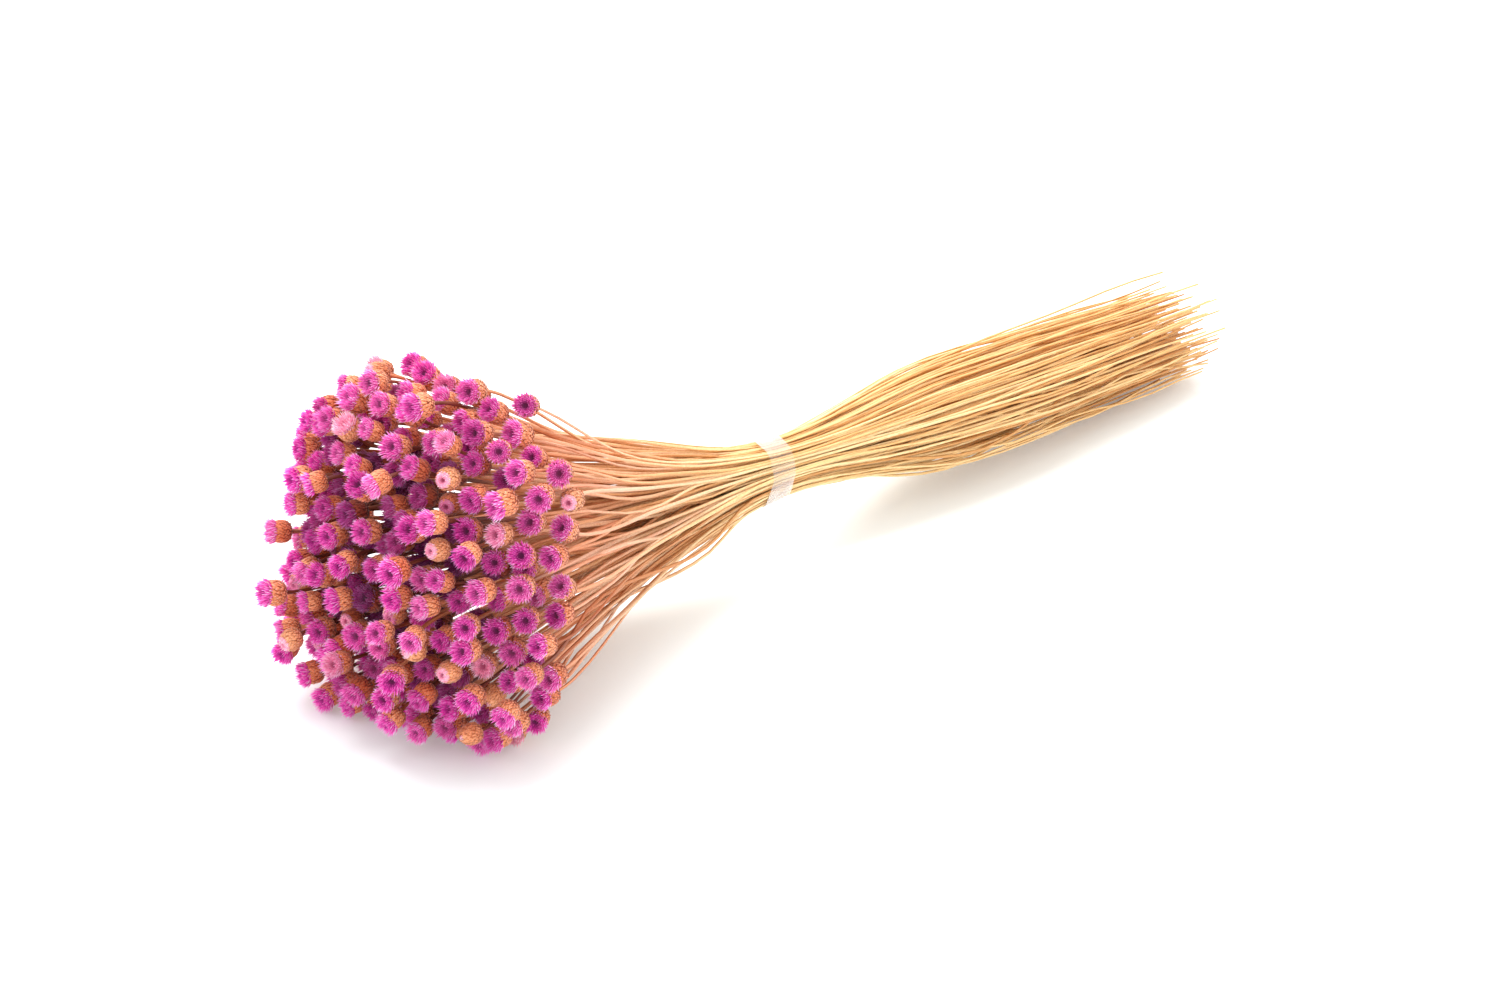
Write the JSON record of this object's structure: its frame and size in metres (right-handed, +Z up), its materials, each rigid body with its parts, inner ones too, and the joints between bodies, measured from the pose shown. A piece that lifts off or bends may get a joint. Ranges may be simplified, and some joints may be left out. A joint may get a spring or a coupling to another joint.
{
  "type": "dried immortelle bunch",
  "caption": "Bunch of dried, dyed immortelle flowers on bare straw-coloured stems, held at its waist by clear tape and lying on its side.",
  "frame": {"origin": "on the surface that the bunch lies on, under the middle of its box", "axes": "+X runs along the bunch from the flower heads toward the cut stem ends, +Y across it, and +Z up"},
  "size_m": [0.5294, 0.1462, 0.1395],
  "materials": {
    "dried_straw": "dry straw, golden toward the cut ends and peach toward the flower heads",
    "papery_bract": "matte papery scales, orange tan",
    "dyed_floret": "matte dyed bristles, magenta",
    "clear_tape": "clear film with a whitish sheen"
  },
  "bodies": {
    "root": {"clear_tape": "clear_tape", "sprig_01": "dried_straw", "sprig_02": "dried_straw", "sprig_03": "dried_straw", "sprig_04": "dried_straw", "sprig_05": "dried_straw", "sprig_06": "dried_straw", "sprig_07": "dried_straw", "sprig_08": "dried_straw", "sprig_09": "dried_straw", "sprig_10": "dried_straw", "sprig_11": "dried_straw", "sprig_12": "dried_straw", "sprig_13": "dried_straw", "sprig_14": "dried_straw", "sprig_15": "dried_straw", "sprig_16": "dried_straw", "sprig_17": "dried_straw", "sprig_18": "dried_straw", "sprig_19": "dried_straw", "sprig_20": "dried_straw", "sprig_21": "dried_straw", "sprig_22": "dried_straw", "sprig_23": "dried_straw", "sprig_24": "dried_straw", "sprig_25": "dried_straw", "sprig_26": "dried_straw", "sprig_27": "dried_straw", "sprig_28": "dried_straw", "sprig_29": "dried_straw", "sprig_30": "dried_straw", "sprig_31": "dried_straw", "sprig_32": "dried_straw", "sprig_33": "dried_straw", "sprig_34": "dried_straw", "sprig_35": "dried_straw", "sprig_36": "dried_straw", "sprig_37": "dried_straw", "sprig_38": "dried_straw", "sprig_39": "dried_straw", "sprig_40": "dried_straw", "sprig_41": "dried_straw", "sprig_42": "dried_straw", "sprig_43": "dried_straw", "sprig_44": "dried_straw", "sprig_45": "dried_straw", "sprig_46": "dried_straw", "sprig_47": "dried_straw", "sprig_48": "dried_straw", "sprig_49": "dried_straw", "sprig_50": "dried_straw", "sprig_51": "dried_straw", "sprig_52": "dried_straw", "sprig_53": "dried_straw", "sprig_54": "dried_straw", "sprig_55": "dried_straw", "sprig_56": "dried_straw", "sprig_57": "dried_straw", "sprig_58": "dried_straw"}
  },
  "joints": []
}
